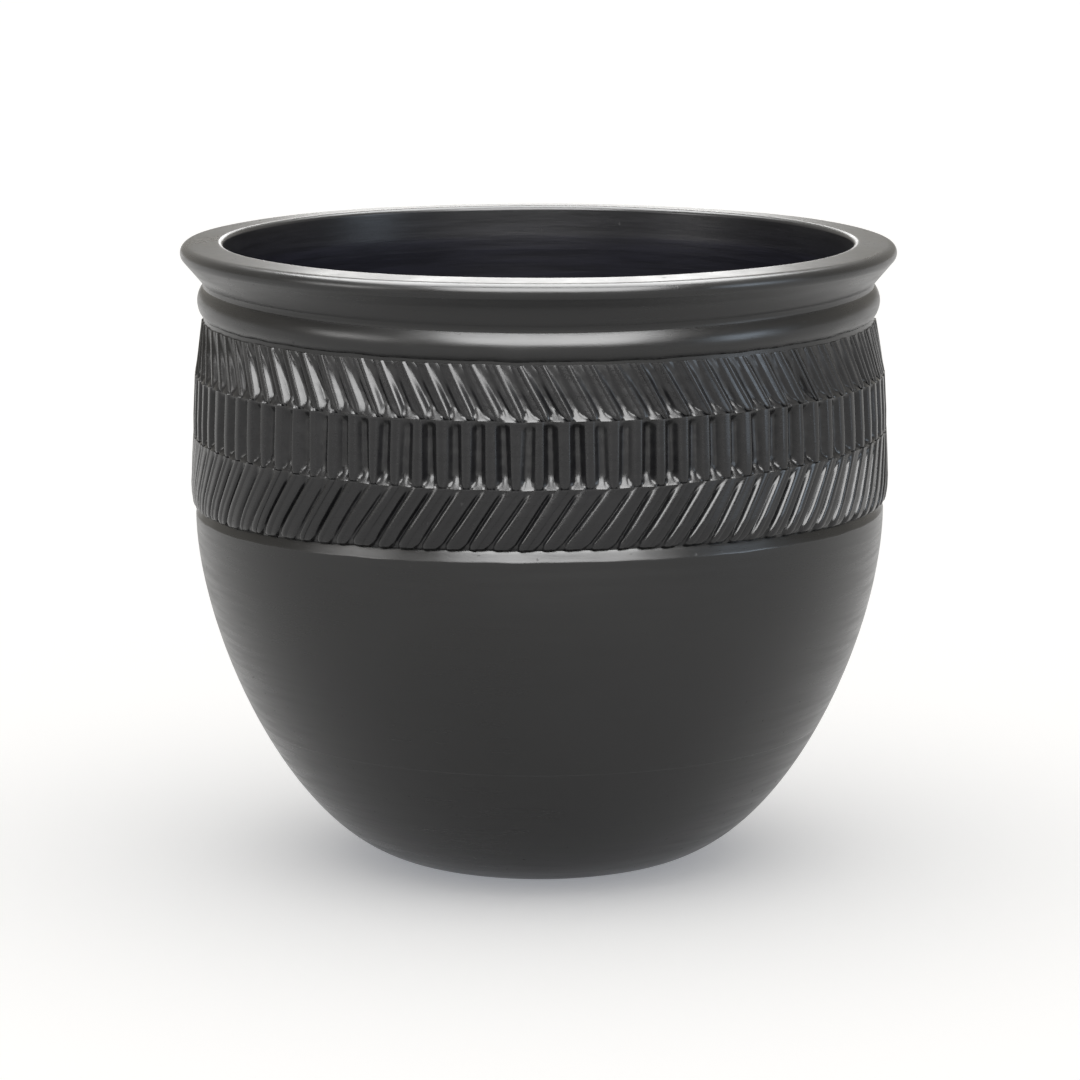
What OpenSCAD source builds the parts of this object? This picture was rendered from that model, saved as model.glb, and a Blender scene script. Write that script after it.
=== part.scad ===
// Barro negro pot: a black, burnished clay planter built up from courses of clay.
// A saucer-shaped base, two bowl walls, a wall behind the band, three carved strips,
// a neck, a half-round bead and a wide flared lip. Revolved about Z, resting on Z = 0.
// Units are millimetres. The origin is the middle of the underside of the base.

/* [Overall] */
// Height from the underside to the top of the lip
pot_h = 278; // [270:1:290]
// Radius of the lip at its widest
lip_r = 159.4; // [158.5:0.1:162]
// Radius of the mouth at the lip's inner edge
mouth_r = 140.2; // [139.5:0.1:141]
// Radius of the flat that the pot stands on
foot_r = 56; // [50:1:62]

/* [Wall] */
// Thickness of the bowl wall and of the base
wall_t = 11; // [9:0.5:12]
// How far each seam between two courses slopes down towards the inside
scarf = 3; // [0:0.5:3]

/* [Bowl] */
// Height of the top of the smooth bowl, where the ledge turns over
ledge_z = 157.5; // [156:0.5:157.5]
// Radius of the bowl at the ledge
ledge_r = 154.3; // [153.8:0.1:155]
// How far the bowl's side leans in over its steep upper part
side_lean = 0.2; // [0:0.2:4]
// Height of that steep upper part
side_drop = 57.6; // [52:0.2:64]
// How flat the bowl runs out towards the foot
foot_run = 51.8; // [48:0.2:54]

/* [Carved band] */
// Height of the bottom of the band, in the groove above the ledge
band_z0 = 161; // [160.5:0.5:162]
// Height of the seam between the lower and the middle strip
band_z1 = 193.5; // [191:0.5:196]
// Height of the seam between the middle and the upper strip
band_z2 = 219.5; // [217:0.5:222]
// Height of the top of the band, under the bead
band_z3 = 243; // [242:0.5:244]
// Radius of the band at its fullest
band_r = 156.4; // [156:0.1:156.8]
// Chisel cuts round each strip
cuts = 94; // [60:1:98]
// Width of the floor of each cut
cut_floor = 3.4; // [2.4:0.1:4]
// Depth of each cut at its lower end
cut_depth = 2; // [1.2:0.1:2.4]
// Slant of the cuts on the upper and the lower strip, in degrees
slant = 30; // [20:1:36]

/* [Neck and lip] */
// Radius of the neck in the hollows over and under the bead
neck_r = 149.5; // [149.2:0.1:149.8]
// How far the bead stands out of the neck
bead_out = 2.6; // [2:0.1:3]
// Height of the bead
bead_h = 13.4; // [12.4:0.2:13.8]
// Radius of the lip's outer edge, seen in section
lip_edge_r = 4; // [3.5:0.1:4.4]
// Radius of the lip's inner edge, seen in section
mouth_edge_r = 2.2; // [1.5:0.1:2.6]

/* [Hidden] */
$fn = 180;
clay = [0.20, 0.20, 0.21];
burnished = [0.26, 0.26, 0.27];
carved = [0.16, 0.16, 0.17];
bowl_steps = 36;
base_step = 30;
bowl_seam_step = 17;
bead_z0 = band_z3 + 2.2;
neck_z1 = bead_z0 + bead_h + 0.2;
inner_top_z = pot_h - 16;
inner_top_r = mouth_r - 0.6;
neck_inner_r = mouth_r - 0.4;
band_inner_r = mouth_r + 0.8;
ledge_back_r = ledge_r - 3;
band_foot_h = 11;
cut_end = 1;
band_foot_r = ledge_back_r + 1.5;
low_top_r = band_r - 1;
mid_top_r = band_r - 2.1;
mid_full_r = band_r - 1.1;
up_bottom_r = band_r - 2.9;
up_top_r = neck_r + 1.2;

// A point of the curve that the bowl's outside follows, from the ledge (t = 0) to the foot (t = 1)
function bowl(t) = pow(1 - t, 3) * [ledge_r, ledge_z]
    + 3 * pow(1 - t, 2) * t * [ledge_r - side_lean, ledge_z - side_drop]
    + 3 * (1 - t) * t * t * [foot_r + foot_run, 0]
    + pow(t, 3) * [foot_r, 0];

// The direction in which the curve runs at t
function bowl_run(t) = 3 * pow(1 - t, 2) * [-side_lean, -side_drop]
    + 6 * (1 - t) * t * [foot_r + foot_run - ledge_r + side_lean, side_drop - ledge_z]
    + 3 * t * t * [-foot_run, 0];

// The point on the bowl's inside, one wall thickness in from the outside
function bowl_in(t) = bowl(t) + wall_t * [bowl_run(t)[1], -bowl_run(t)[0]] / norm(bowl_run(t));

// Outline of a course of the bowl, between two steps of the curve
function bowl_course(first, last) = concat(
    [for (i = [first:last]) bowl(i / bowl_steps)],
    [for (i = [last:-1:first]) bowl_in(i / bowl_steps)]);

// Points of a round stretch of outline, from angle a to angle b
function arc(centre, r, a, b, steps = 10) = [for (i = [0:steps])
    let (at = a + (b - a) * i / steps) centre + r * [cos(at), sin(at)]];

// Radius of the wall behind the band at height z: it tapers from the ledge up to the neck
function back_r(z) = ledge_back_r + (neck_r - ledge_back_r) * (z - band_z0) / (band_z3 - band_z0);

// The saucer of clay that the pot stands on
module base_disc() {
    color(clay)
        rotate_extrude()
            polygon(concat(
                [[0, wall_t], [0, 0]],
                [for (i = [bowl_steps:-1:base_step]) bowl(i / bowl_steps)],
                [for (i = [base_step:bowl_steps]) bowl_in(i / bowl_steps)]));
}

// The first wall, raised from the base
module lower_bowl_wall() {
    color(burnished)
        rotate_extrude()
            polygon(bowl_course(bowl_seam_step, base_step));
}

// The second wall, turned over at its top into the ledge under the band
module upper_bowl_wall() {
    course = bowl_course(0, bowl_seam_step);
    color(burnished)
        rotate_extrude()
            polygon(concat(
                [[ledge_back_r, band_z0], [ledge_back_r + 1.4, band_z0 - 0.9], [ledge_r - 0.4, ledge_z + 1.4]],
                course,
                [[band_inner_r + 1.7, band_z0 - scarf]]));
}

// The plain wall that carries the three carved strips
module band_wall() {
    color(clay)
        rotate_extrude()
            polygon([
                [ledge_back_r, band_z0],
                [neck_r, band_z3],
                [band_inner_r, band_z3 - scarf],
                [band_inner_r + 1.7, band_z0 - scarf]]);
}

// One chisel cut: it starts at nothing at the top of a strip and is deepest at its lower end.
// r_top and r_foot are the strip's radii at z_top and z_foot. A positive lean slants it like a slash.
module chisel_cut(z_top, r_top, z_foot, r_foot, lean) {
    drop = z_top - z_foot;
    outward = atan((cut_depth + r_top - r_foot) / drop);
    flare = 2 * cut_depth;
    translate([-drop * tan(lean) / 2, cut_depth - r_foot, z_foot])
        rotate([0, lean, 0])
            rotate([outward, 0, 0])
                linear_extrude(height = drop / cos(lean) + cut_floor)
                    polygon([
                        [-cut_floor / 2, 0],
                        [cut_floor / 2, 0],
                        [cut_floor / 2 + flare / 2, -flare],
                        [-cut_floor / 2 - flare / 2, -flare]]);
}

// All the cuts round one strip
module ring_of_cuts(z_top, r_top, z_foot, r_foot, lean, turn) {
    for (i = [0:cuts - 1])
        rotate([0, 0, (i + turn) * 360 / cuts])
            chisel_cut(z_top, r_top, z_foot, r_foot, lean);
}

// The lowest strip, whose bars end in rounded fingers over the ledge
module lower_carved_strip() {
    color(carved)
        difference() {
            rotate_extrude()
                polygon([
                    [back_r(band_z0), band_z0],
                    [band_foot_r, band_z0 + 0.6],
                    [band_r - 1.9, band_z0 + 0.2 * band_foot_h],
                    [band_r - 0.6, band_z0 + 0.5 * band_foot_h],
                    [band_r, band_z0 + band_foot_h],
                    [low_top_r, band_z1],
                    [back_r(band_z1), band_z1]]);
            ring_of_cuts(band_z1, low_top_r, band_z0, band_r - 1.2, slant, 0.5);
        }
}

// The middle strip, cut straight up and down
module middle_carved_strip() {
    color(carved)
        difference() {
            rotate_extrude()
                polygon([
                    [back_r(band_z1), band_z1],
                    [mid_full_r, band_z1],
                    [mid_full_r, band_z1 + 10],
                    [mid_top_r, band_z2],
                    [back_r(band_z2), band_z2]]);
            ring_of_cuts(band_z2, mid_top_r, band_z1 + cut_end, mid_full_r, 0, 0);
        }
}

// The top strip, cut on a slant the other way
module upper_carved_strip() {
    color(carved)
        difference() {
            rotate_extrude()
                polygon([
                    [back_r(band_z2), band_z2],
                    [up_bottom_r, band_z2],
                    [up_top_r, band_z3 - 1],
                    [neck_r, band_z3]]);
            ring_of_cuts(band_z3 - 1, up_top_r, band_z2 + cut_end, up_bottom_r, -slant, 0);
        }
}

// The neck, the course that the bead is laid round
module neck_wall() {
    color(clay)
        rotate_extrude()
            polygon([
                [neck_r, band_z3],
                [neck_r, neck_z1],
                [neck_inner_r, neck_z1 - scarf],
                [band_inner_r, band_z3 - scarf]]);
}

// The half-round bead, a coil laid round the neck
module neck_bead() {
    coil_r = (bead_h * bead_h / 4 + bead_out * bead_out) / (2 * bead_out);
    half_angle = asin(bead_h / 2 / coil_r);
    color(burnished)
        rotate_extrude()
            polygon(arc([neck_r + bead_out - coil_r, bead_z0 + bead_h / 2], coil_r,
                -half_angle, half_angle, 16));
}

// The wide lip, flared out over the neck, with a nearly flat top
module rim_lip() {
    cove_r = 3;
    edge_centre = [lip_r - lip_edge_r, pot_h - 0.6 - lip_edge_r];
    mouth_centre = [mouth_r + mouth_edge_r, pot_h - mouth_edge_r];
    color(burnished)
        rotate_extrude()
            polygon(concat(
                arc([neck_r + cove_r, neck_z1 + 0.4], cove_r, 180, 135, 6),
                arc(edge_centre, lip_edge_r, -45, 85, 14),
                arc(mouth_centre, mouth_edge_r, 90, 180, 8),
                [[inner_top_r, inner_top_z], [neck_inner_r, neck_z1 - scarf], [neck_r, neck_z1]]));
}

base_disc();
lower_bowl_wall();
upper_bowl_wall();
band_wall();
lower_carved_strip();
middle_carved_strip();
upper_carved_strip();
neck_wall();
neck_bead();
rim_lip();
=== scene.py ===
# %% [markdown]
# # A burnished black clay pot, course by course
#
# Barro negro is a grey clay that is built up by hand, rubbed with a smooth stone while it is
# leather-hard, and fired in smoke, which turns it black all through. This pot has a smooth bowl,
# a band of three strips of chisel cuts, a rounded bead and a wide flared lip.
# The lesson builds it the way the potter does: each course of clay is a closed piece of its own,
# and it lies where the same course lies in the measured model, which is loaded first.

# %% Load the measured model
import math

import bpy
import numpy as np
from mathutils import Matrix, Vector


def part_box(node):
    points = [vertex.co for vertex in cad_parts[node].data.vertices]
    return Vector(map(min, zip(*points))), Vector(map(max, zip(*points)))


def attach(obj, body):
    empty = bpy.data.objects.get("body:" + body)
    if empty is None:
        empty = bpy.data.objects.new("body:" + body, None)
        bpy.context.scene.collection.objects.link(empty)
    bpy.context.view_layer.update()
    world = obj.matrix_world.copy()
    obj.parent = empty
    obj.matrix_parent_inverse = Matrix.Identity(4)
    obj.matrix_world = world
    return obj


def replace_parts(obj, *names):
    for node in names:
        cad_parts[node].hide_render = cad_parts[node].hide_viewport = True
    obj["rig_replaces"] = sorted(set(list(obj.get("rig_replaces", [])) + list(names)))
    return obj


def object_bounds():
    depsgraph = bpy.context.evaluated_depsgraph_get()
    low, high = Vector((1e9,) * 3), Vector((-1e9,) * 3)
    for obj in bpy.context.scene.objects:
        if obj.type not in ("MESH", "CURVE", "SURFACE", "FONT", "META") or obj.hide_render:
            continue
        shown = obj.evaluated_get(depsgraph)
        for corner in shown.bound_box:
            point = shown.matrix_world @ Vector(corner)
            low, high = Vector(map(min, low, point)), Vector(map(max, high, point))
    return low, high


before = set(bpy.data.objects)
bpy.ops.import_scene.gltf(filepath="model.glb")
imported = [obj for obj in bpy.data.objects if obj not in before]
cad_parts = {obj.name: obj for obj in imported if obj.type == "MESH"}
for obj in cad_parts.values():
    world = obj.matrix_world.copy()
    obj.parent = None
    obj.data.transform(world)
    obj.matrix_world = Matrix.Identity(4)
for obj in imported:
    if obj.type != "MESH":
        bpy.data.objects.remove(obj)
model_low, model_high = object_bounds()
mm = 0.001
print("measured model:", sorted(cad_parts))
print("box in mm:", [round(v / mm, 1) for v in (*model_low, *model_high)])

# %% [markdown]
# ## Sizes
# The heights of the seams are read from the measured courses, so the pieces made here meet
# exactly there. The other sizes are the potter's: how thick the wall is, how far the bead
# stands out, how deep the chisel goes.

# %% Read the heights of the seams
pot_top = model_high.z
lip_r = min(-model_low.x, -model_low.y, model_high.x, model_high.y)
band_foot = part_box("lower_carved_strip")[0].z
low_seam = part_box("middle_carved_strip")[0].z
high_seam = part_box("upper_carved_strip")[0].z
band_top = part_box("upper_carved_strip")[1].z
neck_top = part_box("neck_wall")[1].z
bead_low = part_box("neck_bead")[0].z
bead_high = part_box("neck_bead")[1].z
bead_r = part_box("neck_bead")[1].x
mouth_r = 140.2 * mm
foot_r = 56 * mm
wall = 11 * mm
seam_drop = 3 * mm
ledge_r, ledge_z = 154.3 * mm, 157.5 * mm
notch_r = 152.6 * mm
neck_r = 149.5 * mm
band_r = 156.4 * mm
back_low_r = ledge_r - 3 * mm
inner_r = mouth_r + 0.8 * mm
lip_start = 262 * mm
cuts = 94
segments = 360
print("seams of the band in mm:", [round(z / mm, 1) for z in (band_foot, low_seam, high_seam, band_top)])

# %% [markdown]
# ## The camera and the light
# A pot this shiny shows its surroundings more than its own colour, so the light comes before
# the clay. The camera looks down by ten degrees through a long lens. A wide soft box hangs
# over the front and draws the bright line on the bead and on the ledge. One overhead and one
# low behind light the top of the lip. A smaller one stands on the left, and a cool,
# window-like one stands low on the right. The surroundings are pale and a little warm.

# %% Set up the camera
looking_down = 10.335
camera_data = bpy.data.cameras.new("camera")
camera_data.lens = 149.3
camera_data.sensor_width = 36
camera_data.clip_start, camera_data.clip_end = 0.05, 60
camera = bpy.data.objects.new("camera", camera_data)
camera.location = (0.0007, -1.98719, 0.504)
camera.rotation_euler = (math.radians(90 - looking_down), 0, 0)
bpy.context.scene.collection.objects.link(camera)
bpy.context.scene.camera = camera
print("camera", round(camera.location.length, 2), "m away")

# %% Hang the soft boxes
def soft_box(name, turn, tilt, away, width, height, brightness, colour=(1, 1, 1)):
    """A rectangular light. turn is degrees to the right of the camera's side, tilt is degrees up."""
    data = bpy.data.lights.new(name, "AREA")
    data.shape = "RECTANGLE"
    data.size, data.size_y = width, height
    data.energy, data.color = brightness * math.pi * width * height, colour
    light = bpy.data.objects.new(name, data)
    turn, tilt = math.radians(turn), math.radians(tilt)
    aim = np.array([0, 0, 0.2])
    out = np.array([math.sin(turn) * math.cos(tilt), -math.cos(turn) * math.cos(tilt), math.sin(tilt)])
    light.location = aim + away * out
    light.rotation_euler = (math.pi / 2 - tilt, 0, turn)
    light.visible_camera = False
    bpy.context.scene.collection.objects.link(light)
    return light


soft_boxes = [
    soft_box("soft_box_front", 4, 41, 1.5, 1.6, 1.15, 15),
    soft_box("soft_box_top", 180, 80, 1.4, 1.8, 1.4, 14),
    soft_box("soft_box_back", 180, 15, 2.0, 0.45, 0.45, 4.2),
    soft_box("soft_box_left", -62, 17, 1.6, 0.55, 0.42, 9, (1, 0.99, 0.98)),
    soft_box("soft_box_right", 68, 8, 1.6, 0.5, 0.5, 6.5, (0.72, 0.85, 1))]
print("soft boxes:", [box.name for box in soft_boxes])

# %% Fill the room with pale light
room_colour, room_brightness = (1, 0.96, 0.88, 1), 0.52
world = bpy.data.worlds.new("pale_room")
world.use_nodes = True
room = world.node_tree.nodes["Background"]
room.inputs["Color"].default_value = room_colour
room.inputs["Strength"].default_value = room_brightness
bpy.context.scene.world = world
bpy.context.scene.view_settings.view_transform = "Standard"
print("room light:", room_brightness)

# %% [markdown]
# ## Writing node trees in short lines
# Blender's materials and Geometry Nodes are both trees of nodes. A small helper adds a node,
# sets its values and joins its inputs in one line, which keeps the recipes below readable.

# %% A helper for node trees
class Recipe:
    """Writes a node tree, one short line for each node."""

    def __init__(self, tree):
        self.tree = tree

    def add(self, kind, inputs=None, **settings):
        """Adds a node. An input is joined if it is given a socket, and set if it is given a value."""
        node = self.tree.nodes.new(kind)
        for key, value in settings.items():
            setattr(node, key, value)
        for key, value in (inputs or {}).items():
            if isinstance(value, bpy.types.NodeSocket):
                self.tree.links.new(value, node.inputs[key])
            else:
                node.inputs[key].default_value = value
        return node

    def sum(self, operation, first, second=0.0, third=0.0):
        """One step of arithmetic on single numbers."""
        return self.add("ShaderNodeMath", {0: first, 1: second, 2: third}, operation=operation).outputs[0]

    def remap(self, value, low, high, to_low=0.0, to_high=1.0, smooth=True):
        """Stretches the range low to high onto to_low to to_high, and holds it at the ends."""
        kind = "SMOOTHSTEP" if smooth else "LINEAR"
        node = self.add("ShaderNodeMapRange", {"Value": value}, interpolation_type=kind)
        for name, number in zip(("From Min", "From Max", "To Min", "To Max"), (low, high, to_low, to_high)):
            node.inputs[name].default_value = number
        return node.outputs["Result"]


def new_tree(name, sockets):
    """An empty Geometry Nodes tree with the given named inputs and one geometry output."""
    tree = bpy.data.node_groups.new(name, "GeometryNodeTree")
    for label, kind, value in sockets:
        socket = tree.interface.new_socket(name=label, in_out="INPUT", socket_type="NodeSocket" + kind)
        if value is not None:
            socket.default_value = value
    tree.interface.new_socket(name="Geometry", in_out="OUTPUT", socket_type="NodeSocketGeometry")
    return tree


# %% [markdown]
# ## The potter's wheel
# Every plain course is the same outline all the way round, so one tree turns them all. A flat
# grid is the clay: its rows take their radius and height from the points of the outline, and
# its columns are swung round the axis. Merging the doubled points closes the ring, and closes
# the middle of the base to a single point.

# %% The tree that turns an outline
wheel = new_tree("turn_on_the_wheel", [
    ("Outline", "Geometry", None), ("Segments", "Int", segments), ("Finish", "Material", None)])
make = Recipe(wheel)
given = make.add("NodeGroupInput").outputs
outline_size = make.add("GeometryNodeAttributeDomainSize", {"Geometry": given["Outline"]})
points_on_outline = outline_size.outputs["Point Count"]
rows = make.sum("ADD", points_on_outline, 1)
columns = make.sum("ADD", given["Segments"], 1)
grid = make.add("GeometryNodeMeshGrid", {"Vertices X": columns, "Vertices Y": rows})
index = make.add("GeometryNodeInputIndex").outputs[0]
row = make.sum("MODULO", make.sum("MODULO", index, rows), points_on_outline)
column = make.sum("FLOOR", make.sum("DIVIDE", make.sum("ADD", index, 0.5), rows))
turn = make.sum("MULTIPLY", make.sum("DIVIDE", column, given["Segments"]), 2 * math.pi)
point = make.add("GeometryNodeInputPosition").outputs[0]
taken = make.add(
    "GeometryNodeSampleIndex", {"Geometry": given["Outline"], "Index": row}, data_type="FLOAT_VECTOR")
wheel.links.new(point, taken.inputs["Value"])
swung = make.add(
    "ShaderNodeVectorRotate", {"Vector": taken.outputs[0], "Angle": turn}, rotation_type="Z_AXIS")
flat_clay = grid.outputs["Mesh"]
placed = make.add("GeometryNodeSetPosition", {"Geometry": flat_clay, "Position": swung.outputs[0]})
closed = make.add("GeometryNodeMergeByDistance", {"Geometry": placed.outputs[0], "Distance": 0.002 * mm})
real = make.add("GeometryNodeRealizeInstances", {"Geometry": closed.outputs[0]})
finished = make.add("GeometryNodeSetMaterial", {"Geometry": real.outputs[0], "Material": given["Finish"]})
make.add("NodeGroupOutput", {"Geometry": finished.outputs[0]})
print("wheel tree:", len(wheel.nodes), "nodes")

# %% [markdown]
# ## The hand in the clay
# Nothing built by hand is quite round or level. Here the line of each ring drifts up and down
# by a millimetre or three, most of all at the front, the wall is pushed in and out a little,
# and the seams are slightly ragged. Every course is moved by the same rule, which only looks
# at where a point is, so two courses that meet still meet afterwards.

# %% How a point of clean clay is moved
ring_heights = np.array([0, 120, 141, 157.5, 161, 193.5, 219.5, 243, 245.4, 252, 257, 260, 267, 300]) * mm
front_drift = np.array([0, 0, 0.6, 2.2, 3.6, -2.8, -0.2, -0.6, -1.6, -3.0, -3.2, -2.7, 0, 0]) * mm
right_drift = np.array([0, 0, 0.5, 1.2, 1.3, 1.3, 0.4, 0, 0, 0, 0, 0, 0, 0]) * mm
sideways = np.array([0.6, 0.6, 0.6, 0.6, 0.6, 0.6, 0.5, 0.1, 0, 0, 0, 0, 0, 0]) * mm
dice = np.random.default_rng(23)
wall_waves = [
    (n, dice.uniform(0, 6.28), dice.uniform(14, 40), dice.uniform(0.03, 0.1) * mm)
    for n in (2, 3, 4, 5, 7, 9)]
seam_waves = [(n, dice.uniform(0, 6.28), 0.09 * mm) for n in (19, 31, 47)]


def eased(z, heights, values):
    """A value that changes from each height to the next: evenly up the band, smoothly elsewhere."""
    k = np.clip(np.searchsorted(heights, z) - 1, 0, len(heights) - 2)
    t = np.clip((z - heights[k]) / (heights[k + 1] - heights[k]), 0, 1)
    on_band = (z >= band_foot) & (z <= band_top)
    return values[k] + (values[k + 1] - values[k]) * np.where(on_band, t, t * t * (3 - 2 * t))


def hand_moved(points):
    """Where the potter's hands leave clean points, given as rows of x, y and z."""
    x, y, z = points.T
    radius = np.maximum(np.hypot(x, y), 1e-9)
    turn = np.arctan2(y, x)
    front = -y / radius
    away_from_axis = np.clip(radius / (90 * mm), 0, 1)
    back_share = -0.45
    drift = np.where(front > 0, 1, back_share) * front * front
    up = drift * eased(z, ring_heights, front_drift) + x / radius * eased(z, ring_heights, right_drift)
    ragged = sum(size * np.sin(n * turn + start) for n, start, size in seam_waves)
    fade = 12 * mm
    on_band = np.clip((z - 150 * mm) / fade, 0, 1) * np.clip((260 * mm - z) / fade, 0, 1)
    up = up * away_from_axis + ragged * on_band
    under_lip = np.clip((lip_start - z) / (20 * mm), 0, 1)
    out = sum(size * np.sin(n * turn + start + rise * z / 0.28 * 0.25)
              for n, start, rise, size in wall_waves)
    out = out * under_lip * away_from_axis
    on_top = np.clip((z - lip_start) / fade, 0, 1)
    up = up - on_top * 0.3 * mm * (0.5 + 0.5 * np.sin(3 * turn + 1) * np.sin(5 * turn))
    moved = np.column_stack([x * (1 + out / radius), y * (1 + out / radius), z + up])
    moved[:, 0] += eased(z, ring_heights, sideways) * away_from_axis
    return moved


print("wall pushed in and out by up to", round(sum(w[3] for w in wall_waves) / mm, 2), "mm")

# %% [markdown]
# ## From a tree to a finished piece
# A Geometry Nodes modifier is only a recipe until it is evaluated. Here the result is copied
# into a plain mesh, turned the right way out, moved by hand and shaded: smooth, with a sharp
# crease only where two faces meet steeply. Two numbers are then written on every point for the
# finishes to use: how far a point lies inside the pot, and how much it sticks out as an edge
# that hands and cloths rub.

# %% Bake a tree into a piece
crease_angle = 48


def bake_piece(name, start, tree, values):
    """Runs a tree on the mesh start and returns its result as an object that holds a plain mesh."""
    blank = bpy.data.objects.new(name + "_blank", start)
    bpy.context.scene.collection.objects.link(blank)
    modifier = blank.modifiers.new("nodes", "NODES")
    modifier.node_group = tree
    for socket in tree.interface.items_tree:
        if socket.in_out == "INPUT" and socket.name in values:
            modifier[socket.identifier] = values[socket.name]
    baked = bpy.data.meshes.new_from_object(blank.evaluated_get(bpy.context.evaluated_depsgraph_get()))
    blank.modifiers.remove(modifier)
    bpy.data.objects.remove(blank)
    baked.name = name
    piece = bpy.data.objects.new(name, baked)
    bpy.context.scene.collection.objects.link(piece)
    return piece


def points_of(mesh):
    """The points of a mesh as rows of x, y and z."""
    flat = np.empty(len(mesh.vertices) * 3)
    mesh.vertices.foreach_get("co", flat)
    return flat.reshape(-1, 3)


def turn_outwards(mesh):
    """Flips a closed mesh whose faces point inwards, which its signed volume shows."""
    mesh.calc_loop_triangles()
    corners = np.empty(len(mesh.loop_triangles) * 3, int)
    mesh.loop_triangles.foreach_get("vertices", corners)
    a, b, c = points_of(mesh)[corners.reshape(-1, 3)].transpose(1, 0, 2)
    if np.einsum("ij,ij->", a, np.cross(b, c)) < 0:
        mesh.flip_normals()


def write_numbers(mesh, label, values):
    """Writes one number on each point of a mesh, for a finish to read."""
    flat = np.asarray(values, np.float32).ravel()
    mesh.attributes.new(label, "FLOAT", "POINT").data.foreach_set("value", flat)


def mark_wear(mesh):
    """Writes on each point how much the clay bends outwards there, from 0 to 1."""
    normals = np.empty(len(mesh.vertices) * 3)
    mesh.vertices.foreach_get("normal", normals)
    normals, points = normals.reshape(-1, 3), points_of(mesh)
    ends = np.empty(len(mesh.edges) * 2, int)
    mesh.edges.foreach_get("vertices", ends)
    a, b = ends.reshape(-1, 2).T
    along = points[b] - points[a]
    length_squared = np.einsum("ij,ij->i", along, along)
    bend = np.einsum("ij,ij->i", normals[b] - normals[a], along) / np.maximum(length_squared, 1e-12)
    total, count = np.zeros(len(points)), np.zeros(len(points))
    for end in (a, b):
        np.add.at(total, end, bend)
        np.add.at(count, end, 1)
    fully_worn_bend = 1.2 * mm
    write_numbers(mesh, "wear", np.clip(total / np.maximum(count, 1) * fully_worn_bend, 0, 1))


def finish_piece(piece, node):
    """Moves a piece by hand, shades it, marks its wear, and puts it in the frame in place of a node."""
    mesh = piece.data
    turn_outwards(mesh)
    clean = points_of(mesh)
    if "inside" not in mesh.attributes:
        write_numbers(mesh, "inside", inside_share(clean))
    mesh.vertices.foreach_set("co", hand_moved(clean).ravel())
    mesh.update()
    mesh.shade_smooth()
    mesh.set_sharp_from_angle(angle=math.radians(crease_angle))
    mark_wear(mesh)
    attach(piece, "root")
    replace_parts(piece, node)
    print(piece.name, len(mesh.polygons), "faces")
    return piece


# %% [markdown]
# ## The outlines
# Each course is drawn as a closed outline of radius and height, as if the pot were sawn in
# half. The bowl is one long curve from the ledge to the foot. Its inside runs a wall's
# thickness further in. Points crowd together towards the seams, so that the shading of two
# neighbours agrees there and no line shows on the burnished side.

# %% The curve of the bowl
side_lean, side_drop, foot_run = 0.2 * mm, 57.6 * mm, 51.8 * mm
bowl_hull = np.array([
    [ledge_r, ledge_z], [ledge_r - side_lean, ledge_z - side_drop], [foot_r + foot_run, 0], [foot_r, 0]])
low_bowl_seam, base_seam = 17 / 36, 30 / 36
middle_of_band_wall, middle_of_lip_edge = 148 * mm, 141.6 * mm


def bezier(hull, t):
    """Points of a curve with four control points, at the places t."""
    t = np.asarray(t)[:, None]
    s = 1 - t
    return s**3 * hull[0] + 3 * s**2 * t * hull[1] + 3 * s * t * t * hull[2] + t**3 * hull[3]


def crowded(first, last, count):
    """Numbers from first to last that lie closer together towards both ends."""
    return first + (last - first) * (1 - np.cos(np.linspace(0, math.pi, count))) / 2


def bowl_outside(first, last, count):
    """Points on the outside of the bowl between two places on its curve."""
    return bezier(bowl_hull, crowded(first, last, count))


def bowl_inside(first, last, count):
    """The inside of the bowl, with the faint rings that the potter's fingers leave."""
    t = crowded(first, last, count)
    ahead, behind = bezier(bowl_hull, t + 1e-4), bezier(bowl_hull, t - 1e-4)
    run = ahead - behind
    inward = np.column_stack([run[:, 1], -run[:, 0]]) / np.linalg.norm(run, axis=1)[:, None]
    here = bezier(bowl_hull, t)
    rings = 0.18 * mm * np.sin(here[:, 1] / (1.6 * mm)) * np.sin(math.pi * (t - first) / (last - first))
    return here + (wall + rings[:, None]) * inward


def straight(*corners, step=2.5):
    """Points along straight lines between corners, about step millimetres apart."""
    out = [np.array(corners[:1])]
    for a, b in zip(corners, corners[1:]):
        count = max(1, round(math.dist(a, b) / (step * mm)))
        out.append(np.linspace(a, b, count + 1)[1:])
    return np.concatenate(out)


def arc(centre, radius, start, end, count):
    """Points of a round stretch of outline between two angles in degrees."""
    turn = np.radians(np.linspace(start, end, count))
    return np.column_stack([centre[0] + radius * np.cos(turn), centre[1] + radius * np.sin(turn)])


def outline_mesh(outline):
    """The outline as a chain of points that the wheel can read."""
    flat = [(r, 0, z) for r, z in outline]
    mesh = bpy.data.meshes.new("outline")
    mesh.from_pydata(flat, [(i, i + 1) for i in range(len(flat) - 1)], [])
    return mesh


def inside_share(points):
    """1 for the clay inside the pot or under its foot, 0 for the clay outside."""
    radius, z = np.hypot(points[:, 0], points[:, 1]), points[:, 2]
    t = np.linspace(0, 1, 400)
    outside = bezier(bowl_hull, t)
    skin = np.interp(z, outside[::-1, 1], outside[::-1, 0])
    skin = np.where(z > ledge_z, middle_of_band_wall, skin)
    skin = np.where(z > lip_start, middle_of_lip_edge, skin)
    inside = np.clip((skin - radius) / (1.6 * mm) - 0.6, 0, 1)
    under = np.clip((foot_r - radius) / (4 * mm), 0, 1) * (z < 0.3 * mm)
    return np.maximum(inside, under)


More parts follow.
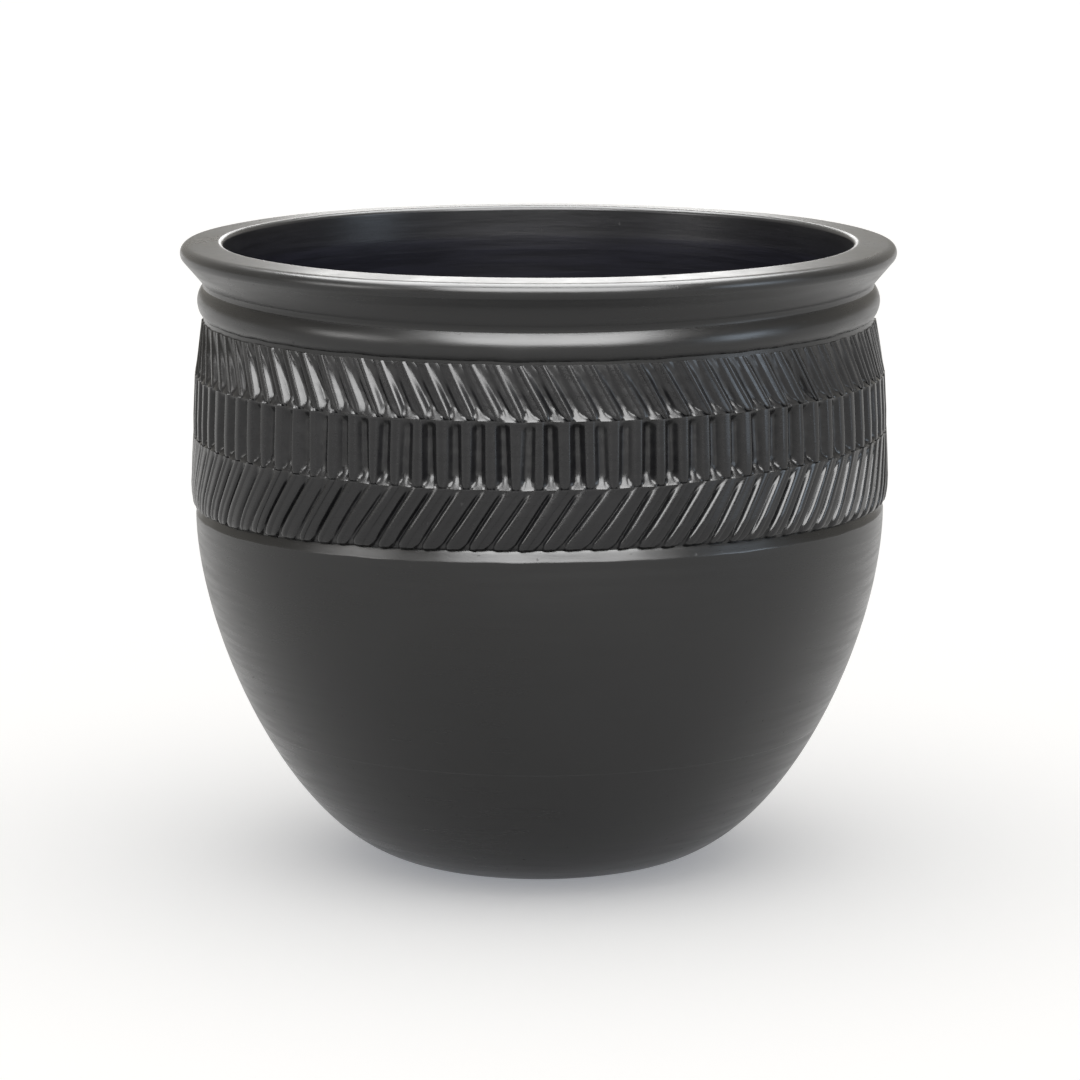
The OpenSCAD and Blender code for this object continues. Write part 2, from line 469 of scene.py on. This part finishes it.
# %% [markdown]
# ## The finishes
# One recipe makes the black clay, burnished or carved. The clay itself is nearly black, and
# most of what is seen is a soft reflection. Burnishing strokes run round the pot as faint
# streaks in the sheen, smoke leaves cloudy patches, the odd pit and grain of sand breaks the
# surface, edges are rubbed a little paler and smoother, and dust lies in the cuts. Inside and
# underneath, the clay is only wiped, so it is duller and shows wiping lines.

# %% Mix the black clay
rubbed_clay = (0.03, 0.03, 0.03, 1)
clay_dust = (0.03, 0.03, 0.029, 1)
wiped_dark, wiped_pale = (0.0015, 0.0015, 0.0027, 1), (0.005, 0.005, 0.008, 1)
wiped_roughness = 0.33


def black_clay(name, colour, sheen_low, sheen_high, dust, polish):
    """A black clay finish: base colour, the smoothest and roughest sheen, the dust in the cuts, and
    how strongly the polished skin mirrors."""
    material = bpy.data.materials.new(name)
    material.use_nodes = True
    material.node_tree.nodes.clear()
    mix = Recipe(material.node_tree)
    place = mix.add("ShaderNodeTexCoord").outputs["Object"]

    def cloud(scale, detail, stretch=(1, 1, 1), roughness=0.55):
        """Soft random patches, finer for a larger scale, flat and wide where stretch is large."""
        spot = mix.add("ShaderNodeMapping", {"Vector": place, "Scale": stretch}).outputs[0]
        values = {"Vector": spot, "Scale": scale, "Detail": detail, "Roughness": roughness}
        return mix.add("ShaderNodeTexNoise", values).outputs["Fac"]

    def blended(share, first, second):
        """The first colour, with a share of the second mixed in."""
        return mix.add("ShaderNodeMix", {"Factor": share, 6: first, 7: second}, data_type="RGBA").outputs[2]

    def more(total, what, amount):
        """The total, with an amount of something added to it."""
        return mix.sum("ADD", total, mix.sum("MULTIPLY", what, amount))

    def written(label):
        """The number written on each point under a label."""
        return mix.add("ShaderNodeAttribute", attribute_name=label).outputs["Fac"]

    smoke = mix.remap(cloud(9, 4), 0.35, 0.7)
    strokes = mix.remap(cloud(22, 5, (1, 1, 14), 0.65), 0.3, 0.72)
    fine_strokes = cloud(60, 4, (1, 1, 22), 0.7)
    grain = cloud(1400, 2)
    pits = mix.remap(cloud(420, 1), 0.74, 0.8)
    wear, inside, hollow = written("wear"), written("inside"), written("hollow")

    smoky = [c * 1.9 for c in colour[:3]] + [1]
    pale = blended(mix.sum("MULTIPLY", smoke, 0.5), colour, smoky)
    rubbed_share = mix.sum("MULTIPLY", wear, mix.remap(grain, 0.35, 0.65, 0.12, 0.4))
    rubbed = blended(rubbed_share, pale, rubbed_clay)
    dusty_share = mix.sum("MULTIPLY", mix.sum("MULTIPLY", hollow, dust), mix.remap(cloud(260, 3), 0.4, 0.66))
    dusty = blended(dusty_share, rubbed, clay_dust)
    wiped = blended(mix.sum("MULTIPLY", strokes, 0.7), wiped_dark, wiped_pale)
    skin = blended(inside, dusty, wiped)

    sheen = mix.remap(strokes, 0, 1, sheen_low, sheen_high, smooth=False)
    sheen = more(sheen, smoke, 0.05)
    sheen = more(sheen, wear, -0.06)
    sheen = more(sheen, hollow, 0.06)
    sheen = more(sheen, pits, 0.2)
    rough = mix.add("ShaderNodeMix", {"Factor": inside, 2: sheen, 3: wiped_roughness}).outputs[0]

    height = mix.sum("MULTIPLY", fine_strokes, 0.5)
    height = more(height, grain, 0.1)
    height = more(height, pits, -0.5)
    height = more(height, mix.sum("MULTIPLY", strokes, inside), 0.8)
    bump = {"Height": height, "Strength": 0.35, "Distance": 0.12 * mm}
    relief = mix.add("ShaderNodeBump", bump).outputs[0]

    shader = mix.add("ShaderNodeBsdfPrincipled", {"Base Color": skin, "Roughness": rough, "Normal": relief})
    shader.inputs["IOR"].default_value = 1.5
    shader.inputs["Specular IOR Level"].default_value = polish
    mix.add("ShaderNodeOutputMaterial", {"Surface": shader.outputs[0]})
    return material


burnished_clay = black_clay(
    "burnished_black_clay", (0.002, 0.002, 0.0021, 1), 0.25, 0.33, dust=0.0, polish=0.44)
carved_clay = black_clay(
    "carved_black_clay", (0.002, 0.002, 0.0023, 1), 0.22, 0.3, dust=0.15, polish=0.38)
print("finishes:", burnished_clay.name, carved_clay.name)

# %% [markdown]
# ## The base and the bowl
# The potter presses a saucer of clay as a base, then raises the bowl on it in two courses. The
# upper one is turned over at its top into a rounded ledge, on which the carved band stands.

# %% Throw a plain course
def throw_course(name, node, outline, finish):
    """Turns an outline on the wheel into the piece that stands for one measured course."""
    piece = bake_piece(name, outline_mesh(outline), wheel, {"Segments": segments, "Finish": finish})
    return finish_piece(piece, node)


underside = straight((0, 0), (foot_r, 0), step=4)[:-1]
base_top = straight((foot_r, wall), (0, wall), step=4)[1:]
throw_course(
    "saucer_base", "base_disc",
    np.concatenate([underside, bowl_outside(1, base_seam, 30), bowl_inside(base_seam, 1, 16), base_top]),
    burnished_clay)
throw_course(
    "lower_bowl_course", "lower_bowl_wall",
    np.concatenate([bowl_outside(base_seam, low_bowl_seam, 60), bowl_inside(low_bowl_seam, base_seam, 30)]),
    burnished_clay)
ledge_hull = np.array([
    [notch_r, band_foot], [notch_r + 1.1 * mm, band_foot - 2.2 * mm],
    [ledge_r, ledge_z + 0.5 * mm], [ledge_r, ledge_z]])
throw_course(
    "upper_bowl_course", "upper_bowl_wall",
    np.concatenate([
        bowl_outside(low_bowl_seam, 0, 64),
        bezier(ledge_hull, np.linspace(1, 0, 14))[1:],
        straight((back_low_r, band_foot), (inner_r + 1.7 * mm, band_foot - seam_drop)),
        bowl_inside(0, low_bowl_seam, 34)[1:]]),
    burnished_clay)

# %% [markdown]
# ## The wall behind the band
# The carved strips are laid on a plain wall. Only its inner face shows, through the mouth.

# %% Throw the wall behind the band
throw_course(
    "band_backing", "band_wall",
    np.concatenate([
        straight((back_low_r, band_foot), (neck_r, band_top)),
        straight((inner_r, band_top - seam_drop), (inner_r + 1.7 * mm, band_foot - seam_drop))]),
    burnished_clay)

# %% [markdown]
# ## One chisel cut
# The band is one small shape repeated ninety-four times a strip: half a bar, a cut, half a
# bar. The cut is made with a small chisel pushed downwards. It starts shallow, gets deeper,
# and ends in a short ramp, where the chisel is levered out and the floor widens. Between two
# cuts stands a bar. A slanted bar has a small burr along its lower side, and both kinds are
# rounded off at their edges. The patch below holds one such shape in flat form: across, out
# of the surface, and up.

# %% The section of a cut at one height
half_pitch = math.pi * band_r / cuts


def smooth_step(t):
    """Rises smoothly from 0 to 1 while t goes from 0 to 1."""
    t = np.clip(t, 0, 1)
    return t * t * (3 - 2 * t)


middle_ramp_tall, edge_ramp_tall, toe_tall = 6.4 * mm, 4.6 * mm, 4.5 * mm
least_backing = 0.35 * mm
on_wall = np.array([0, 0, 0, 0.3, 0.7, 1, 1, 1, 1, 1])
on_bar = np.array([0, 0, 0, 0, 0, 0, 0.2, 0.45, 0.72, 1])
sunk_share = np.array([1, 1, 0.96, 0.7, 0.3, 0, 0, 0, 0, 0])
even_top = np.array([-1, -1, -1, -1, -1, -1, -0.35, -0.08, 0, 0])
burred_top = np.array([-1.3, -1.3, -1.3, -1.3, -1.3, -1.3, -0.5, 0, -0.15, -1])
rounded_top = np.array([-2, -2, -2, -2, -2, -2, -1.2, -1.06, -1.02, -1])


def cut_section(up, tall, skin, back, lean, floor, wall_run, depth, ridge,
                toe=0.7 * mm, next_skin=0.0, floor_rule=None):
    """One row of the patch: places across, how far out each one is, and how deep in the cut it is.
    floor is half the width of the cut's floor, wall_run is how far its sloping wall reaches, ridge
    is the height of the burr that the chisel leaves, and toe is how much the floor widens at its foot."""
    near_foot = max(1 - up / toe_tall, 0) ** 1.5
    floor_half = floor * (1.08 - 0.2 * up / tall) + toe * near_foot
    deep = depth * (0.3 + 0.7 * smooth_step((tall - up) / (0.14 * tall)))

    def floor_out(ramp_tall):
        """How far out the floor lies: it ramps out to the skin of the strip below at its foot."""
        climb = min(up / ramp_tall, 1)
        ramp = climb * (1.5 - 0.5 * climb * climb)
        rule = floor_rule(up, skin) if floor_rule else -deep * ramp + (next_skin - skin) * (1 - ramp)
        return max(rule, back + least_backing - skin)

    middle, edge = floor_out(middle_ramp_tall), floor_out(edge_ramp_tall)
    sunk = np.array([middle, (middle + edge) / 2] + [edge] * 8)
    in_cut = min(up / (3 * mm), 1)
    foot_round = 0.4 * mm * max(1 - up / (1.8 * mm), 0) ** 2
    bar = half_pitch - floor_half - wall_run
    on_floor = np.array([0, 0.6, 1, 1, 1, 1, 1, 1, 1, 1])
    places = on_floor * floor_half + on_wall * wall_run + on_bar * bar
    across, out, hollow = [], [], []
    for side in (-1, 1):
        top = even_top if not lean else burred_top if side == lean else rounded_top
        row = sunk_share * sunk + (1 - sunk_share) * (top * ridge - foot_round)
        order = slice(None, None, -1) if side < 0 else slice(1, None)
        across += list((side * places)[order])
        out += list(row[order])
        hollow += list((sunk_share * in_cut)[order])
    return across, out, hollow


# %% Make the patch for one strip
def cut_patch(skin_line, tall_rows, lean, **cut):
    """A mesh of half a bar, a cut and half a bar, closed at its back, with the plain radius of
    each row written on its points. skin_line gives the plain outline from the foot up."""
    low, high = skin_line[0][1], skin_line[-1][1]
    heights = np.array(tall_rows)
    skins = np.interp(heights, [z for _, z in skin_line], [r for r, _ in skin_line])
    corners, skin_of, hollow_of, loops = [], [], [], []

    def backing(z):
        """Radius of the wall behind the band at a height."""
        return back_low_r + (neck_r - back_low_r) * (z - band_foot) / (band_top - band_foot)

    for z, skin in zip(heights, skins):
        across, out, hollow = cut_section(z - low, high - low, skin, backing(z), lean, **cut)
        loops.append([(x, o, z) for x, o in zip(across, out)])
        skin_of.append([skin] * len(across))
        hollow_of.append(hollow)
    columns = len(loops[0])
    even = np.linspace(-half_pitch, half_pitch, columns)
    for z in (high, (low + high) / 2, low):
        loops.append([(x, 0, z) for x in even])
        skin_of.append([backing(z)] * columns)
        hollow_of.append([0] * columns)
    for loop in loops:
        corners += loop
    rows = len(loops)
    faces = []
    for row in range(rows):
        below, above = row * columns, (row + 1) % rows * columns
        faces += [(below + c, below + c + 1, above + c + 1, above + c) for c in range(columns - 1)]
    mesh = bpy.data.meshes.new("one_cut")
    mesh.from_pydata(corners, [], faces)
    write_numbers(mesh, "skin", skin_of)
    write_numbers(mesh, "hollow", hollow_of)
    return mesh


# %% [markdown]
# ## Round the ring
# A second tree copies the patch round the ring, once for each cut. Each copy gets its own
# random numbers: the cut sits a little to one side, leans a little more or less, and goes a
# little deeper or shallower. The shifts fade to nothing at the middle of each bar, so that
# neighbouring copies still join. The slant shears the whole strip.

# %% The tree that repeats a cut
ring = new_tree("cut_round_the_ring", [
    ("One cut", "Geometry", None), ("Cuts", "Int", cuts), ("Half pitch", "Float", half_pitch),
    ("Slant", "Float", 0.0), ("Middle height", "Float", 0.2), ("Turn", "Float", 0.0),
    ("Irregularity", "Float", 1.0), ("Seed", "Int", 1), ("Finish", "Material", None)])
make = Recipe(ring)
given = make.add("NodeGroupInput").outputs
line = make.add("GeometryNodeMeshLine", {"Count": given["Cuts"], "Offset": (0, 0, 0)})
copies = make.add("GeometryNodeInstanceOnPoints", {"Points": line.outputs[0], "Instance": given["One cut"]})
number = make.add("GeometryNodeInputIndex").outputs[0]
numbered = make.add(
    "GeometryNodeStoreNamedAttribute", {"Geometry": copies.outputs[0], "Name": "cut_number"},
    data_type="INT", domain="INSTANCE")
ring.links.new(number, numbered.inputs["Value"])
loose = make.add("GeometryNodeRealizeInstances", {"Geometry": numbered.outputs[0]}).outputs[0]
cut_number = make.add("GeometryNodeInputNamedAttribute", {"Name": "cut_number"}, data_type="INT").outputs[0]
skin = make.add("GeometryNodeInputNamedAttribute", {"Name": "skin"}, data_type="FLOAT").outputs[0]
flat_place = make.add("GeometryNodeInputPosition").outputs[0]
across, out, up = make.add("ShaderNodeSeparateXYZ", {0: flat_place}).outputs


def chance(extra):
    """A random number from -1 to 1 for each cut, times the irregularity."""
    seed = make.sum("ADD", given["Seed"], extra)
    draw = make.add("FunctionNodeRandomValue", {"ID": cut_number, "Seed": seed}, data_type="FLOAT")
    draw.inputs[2].default_value, draw.inputs[3].default_value = -1, 1
    return make.sum("MULTIPLY", draw.outputs[1], given["Irregularity"])


part = make.sum("DIVIDE", across, given["Half pitch"])
in_middle = make.sum("POWER", make.sum("SUBTRACT", 1.0, make.sum("MULTIPLY", part, part)), 1.5)
raised = make.sum("SUBTRACT", up, given["Middle height"])
most_nudge, most_lean, most_deeper = 0.9 * mm, 0.05, 0.28
nudge = make.sum("MULTIPLY", chance(0), most_nudge)
nudge = make.sum("ADD", nudge, make.sum("MULTIPLY", chance(11), make.sum("MULTIPLY", raised, most_lean)))
shifted = make.sum("ADD", across, make.sum("MULTIPLY", nudge, in_middle))
slanted = make.sum("ADD", shifted, make.sum("MULTIPLY", raised, given["Slant"]))
pitches = make.sum("DIVIDE", slanted, make.sum("MULTIPLY", given["Half pitch"], 2))
turned = make.sum("ADD", make.sum("ADD", cut_number, pitches), given["Turn"])
angle = make.sum("DIVIDE", make.sum("MULTIPLY", turned, 2 * math.pi), given["Cuts"])
deeper = make.sum("ADD", 1.0, make.sum("MULTIPLY", chance(23), most_deeper))
radius = make.sum("ADD", skin, make.sum("MULTIPLY", out, deeper))
where = make.add("ShaderNodeCombineXYZ", {
    0: make.sum("MULTIPLY", radius, make.sum("COSINE", angle)),
    1: make.sum("MULTIPLY", radius, make.sum("SINE", angle)), 2: up})
bent = make.add("GeometryNodeSetPosition", {"Geometry": loose, "Position": where.outputs[0]})
joined = make.add("GeometryNodeMergeByDistance", {"Geometry": bent.outputs[0], "Distance": 0.003 * mm})
real = make.add("GeometryNodeRealizeInstances", {"Geometry": joined.outputs[0]})
finished = make.add("GeometryNodeSetMaterial", {"Geometry": real.outputs[0], "Material": given["Finish"]})
make.add("NodeGroupOutput", {"Geometry": finished.outputs[0]})
print("ring tree:", len(ring.nodes), "nodes")

# %% [markdown]
# ## The three carved strips
# The lowest strip slants like a slash and ends in rounded fingers that hang over the ledge,
# the middle one is upright, and the top one slants the other way. Together they make a
# herringbone. Each strip stands a hair prouder at its top than the foot of the strip above,
# so the seam between them shows.

# %% Carve the strips
def rows_between(low, high, count=40):
    """Heights for the rows of a strip, closer together towards its foot and its top."""
    t = np.linspace(0, 1, count)
    return low + (high - low) * (0.55 * t + 0.45 * (1 - np.cos(math.pi * t)) / 2)


def carve_strip(name, node, skin_line, slant, turn, seed, **cut):
    """Carves one strip: slant is in degrees, turn shifts its cuts round by a share of a pitch."""
    lean = (slant > 0) - (slant < 0)
    low, high = skin_line[0][1], skin_line[-1][1]
    corner_rows = [z for _, z in skin_line if z - low < 1.5 * mm or high - z < 1.5 * mm]
    between = [z for z in rows_between(low, high) if all(abs(z - c) > 0.25 * mm for c in corner_rows)]
    heights = sorted({*corner_rows, *between})
    start = cut_patch(skin_line, heights, lean, **cut)
    values = {
        "Cuts": cuts, "Half pitch": half_pitch, "Slant": math.tan(math.radians(slant)),
        "Middle height": (low + high) / 2, "Turn": turn, "Irregularity": 1.0, "Seed": seed,
        "Finish": carved_clay}
    piece = bake_piece(name, start, ring, values)
    write_numbers(piece.data, "inside", np.zeros(len(piece.data.vertices)))
    return finish_piece(piece, node)


def finger_floor(up, skin):
    """The floor of a cut in the lowest strip, which ramps out on to the ledge at its foot."""
    heights = np.array([0, 2.5, 5.5, 9, 26, 32.5]) * mm
    floors = np.array([152.6, 153.9, 154.3, 154.2, 153.6, 154.9]) * mm
    return float(np.interp(up, heights, floors)) - skin


low_line = [
    (notch_r, band_foot), (154.3 * mm, band_foot + 0.3 * mm), (155.2 * mm, band_foot + 1.3 * mm),
    (155.8 * mm, band_foot + 3 * mm), (156.2 * mm, band_foot + 6 * mm), (band_r, band_foot + 11 * mm),
    (155.4 * mm, low_seam)]
middle_line = [
    (155.15 * mm, low_seam), (155.25 * mm, low_seam + 0.8 * mm),
    (155.2 * mm, low_seam + 9 * mm), (154.3 * mm, high_seam)]
high_line = [
    (154.05 * mm, high_seam), (154.1 * mm, high_seam + 0.8 * mm),
    (153.3 * mm, high_seam + 5 * mm), (150.5 * mm, band_top)]
carve_strip("low_slash_strip", "lower_carved_strip", low_line, 30, 0.3, 5,
            floor=0.3 * mm, wall_run=0.9 * mm, depth=2 * mm, ridge=0.38 * mm, toe=1.6 * mm,
            floor_rule=finger_floor)
carve_strip("upright_strip", "middle_carved_strip", middle_line, 0, 0.0, 17,
            floor=1.15 * mm, wall_run=1.95 * mm, depth=3.1 * mm, ridge=0.55 * mm, next_skin=155.35 * mm)
carve_strip("high_backslash_strip", "upper_carved_strip", high_line, -28, 0.65, 31,
            floor=1 * mm, wall_run=1.4 * mm, depth=2.4 * mm, ridge=0.55 * mm, toe=1.3 * mm,
            next_skin=154.25 * mm)

# %% [markdown]
# ## The neck, the bead and the lip
# The neck narrows over the band. A coil of clay is laid round it and rounded into a bead. The
# lip is the last course, flared outwards like a funnel with a nearly flat top, whose inner
# edge is turned over the mouth.

# %% Throw the neck, the bead and the lip
throw_course(
    "neck_course", "neck_wall",
    np.concatenate([
        straight((neck_r, band_top), (neck_r, neck_top), step=1.5),
        straight((mouth_r - 0.4 * mm, neck_top - seam_drop), (inner_r, band_top - seam_drop))]),
    burnished_clay)
bead_tall, bead_out = bead_high - bead_low, bead_r - neck_r
coil_r = (bead_tall**2 / 4 + bead_out**2) / (2 * bead_out)
reach = math.degrees(math.asin(bead_tall / 2 / coil_r))
throw_course(
    "bead_coil", "neck_bead",
    np.concatenate([
        arc((neck_r + bead_out - coil_r, (bead_low + bead_high) / 2), coil_r, -reach, reach, 34),
        straight((neck_r, bead_high), (neck_r, bead_low), step=2)[1:-1]]),
    burnished_clay)
edge_r, inner_edge_r, cove_r = 4 * mm, 2.2 * mm, 3 * mm
edge_middle = (lip_r - edge_r, pot_top - 0.6 * mm - edge_r)
inner_middle = (mouth_r + inner_edge_r, pot_top - inner_edge_r)
cove = arc((neck_r + cove_r, neck_top + 0.4 * mm), cove_r, 180, 135, 8)
edge = arc(edge_middle, edge_r, -45, 85, 30)
inner_edge = arc(inner_middle, inner_edge_r, 90, 180, 16)
throw_course(
    "flared_lip", "rim_lip",
    np.concatenate([
        [(neck_r, neck_top)], cove, straight(tuple(cove[-1]), tuple(edge[0]), step=1)[1:-1], edge,
        straight(tuple(edge[-1]), tuple(inner_edge[0]), step=1.2)[1:-1], inner_edge,
        straight(tuple(inner_edge[-1]), (mouth_r - 0.6 * mm, pot_top - 16 * mm),
                 (mouth_r - 0.4 * mm, neck_top - seam_drop))[1:]]),
    burnished_clay)

# %% [markdown]
# ## The floor
# The pot stands on a plain pale floor that reaches far behind it. The floor also lights the
# underside of the bowl, because the burnished clay mirrors it faintly. The soft boxes light
# only the pot, so that they can be strong without leaving pools of light on the floor.

# %% Lay the floor
floor_mesh = bpy.data.meshes.new("pale_floor")
floor_mesh.from_pydata([(-20, -8, 0), (20, -8, 0), (20, 30, 0), (-20, 30, 0)], [], [(0, 1, 2, 3)])
floor = bpy.data.objects.new("pale_floor", floor_mesh)
floor.location.z = -0.0002
bpy.context.scene.collection.objects.link(floor)
floor_finish = bpy.data.materials.new("pale_floor")
floor_finish.use_nodes = True
floor_shader = floor_finish.node_tree.nodes["Principled BSDF"]
for socket, value in (("Base Color", (0.9, 0.9, 0.9, 1)), ("Roughness", 0.9), ("Specular IOR Level", 0.1),
                      ("Emission Color", (0.97, 1, 1.07, 1)), ("Emission Strength", 0.27)):
    floor_shader.inputs[socket].default_value = value
floor_mesh.materials.append(floor_finish)
print("floor laid", round(-floor.location.z / mm, 1), "mm under the pot")

# %% Say what each light falls on
def light_only(light, things, name):
    """Lets a light fall on the given objects and on nothing else."""
    group = bpy.data.collections.new(name)
    for thing in things:
        group.objects.link(thing)
    light.light_linking.receiver_collection = group


pieces = [thing for thing in bpy.data.objects if thing.type == "MESH" and "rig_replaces" in thing]
for box in soft_boxes:
    light_only(box, pieces, "lit_by_" + box.name)
ceiling_data = bpy.data.lights.new("ceiling_light", "SUN")
ceiling_data.energy, ceiling_data.angle = 1.1, math.radians(80)
ceiling = bpy.data.objects.new("ceiling_light", ceiling_data)
bpy.context.scene.collection.objects.link(ceiling)
light_only(ceiling, [floor], "lit_by_the_ceiling")
print("soft boxes light", len(pieces), "pieces, and the ceiling lights the floor")
